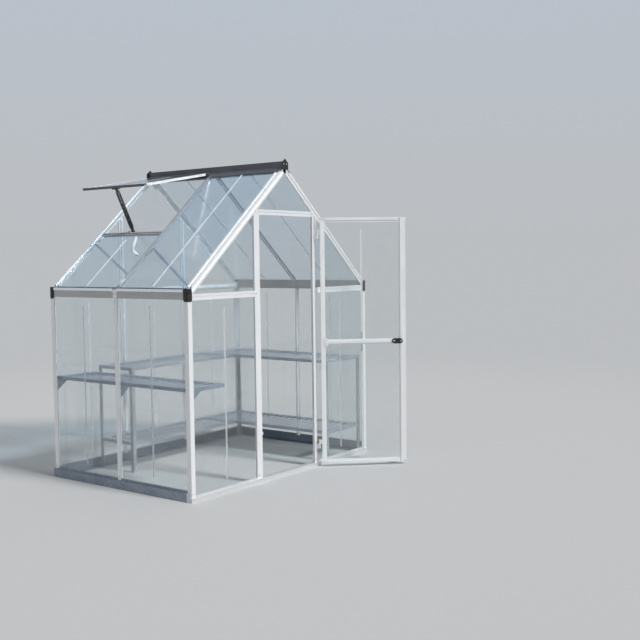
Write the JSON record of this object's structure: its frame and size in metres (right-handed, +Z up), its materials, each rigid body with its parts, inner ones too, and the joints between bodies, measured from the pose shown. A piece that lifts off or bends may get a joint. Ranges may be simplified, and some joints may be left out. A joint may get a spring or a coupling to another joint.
{
  "type": "polycarbonate greenhouse",
  "caption": "Walk-in garden greenhouse with a pitched roof, clear polycarbonate sheets in aluminium sections, a hinged door, an open roof vent and staging inside.",
  "frame": {"origin": "centre of the base frame at floor level, which is also the centre of the four anchor holes", "axes": "+X to the right seen from the front, +Y from the front gable to the rear gable, +Z up"},
  "size_m": [1.87, 1.7641, 2.1014],
  "materials": {
    "aluminium": "mill-finished aluminium extrusion, satin",
    "steel": "galvanised sheet steel, blue-grey",
    "polycarbonate": "clear polycarbonate sheet with a faint blue cast",
    "black_plastic": "matt black moulded plastic"
  },
  "bodies": {
    "house": {"base_front": "aluminium", "base_rear": "steel", "base_left": "steel", "base_right": "steel", "corner_posts_front": "aluminium", "corner_posts_rear": "aluminium", "wall_studs": "aluminium", "eave_beam_left": "aluminium", "eave_beam_right": "aluminium", "ridge_beam": "aluminium", "rafters_front": "aluminium", "rafters_middle": "aluminium", "rafters_rear": "aluminium", "door_jambs": "aluminium", "door_header": "aluminium", "gable_bars_front": "aluminium", "gable_bars_rear": "aluminium", "rear_studs": "aluminium", "wall_panes_left": "polycarbonate", "wall_panes_right": "polycarbonate", "wall_panes_front": "polycarbonate", "gable_panes_front": "polycarbonate", "rear_panes": "polycarbonate", "roof_panes_left": "polycarbonate", "roof_panes_right": "polycarbonate", "vent_rails": "aluminium", "vent_stiles": "aluminium", "vent_pane": "polycarbonate", "vent_sill": "aluminium", "vent_stay": "black_plastic", "roof_braces": "aluminium", "eave_caps": "black_plastic", "ridge_end_caps": "black_plastic", "jamb_hinges": "aluminium", "shelf_left": "steel", "shelf_upper": "steel", "shelf_lower": "steel", "shelf_legs": "steel"},
    "door": {"door_stiles": "aluminium", "door_rails": "aluminium", "door_panes": "polycarbonate", "door_handle": "black_plastic", "door_hinges": "aluminium"}
  },
  "joints": [
    {"name": "door_hinge", "type": "hinge", "parent": "house", "child": "door", "pos_m": [0.313, -0.662, 0], "axis": [0, 0, 1], "range_deg": [-132.5, 44.5]}
  ]
}
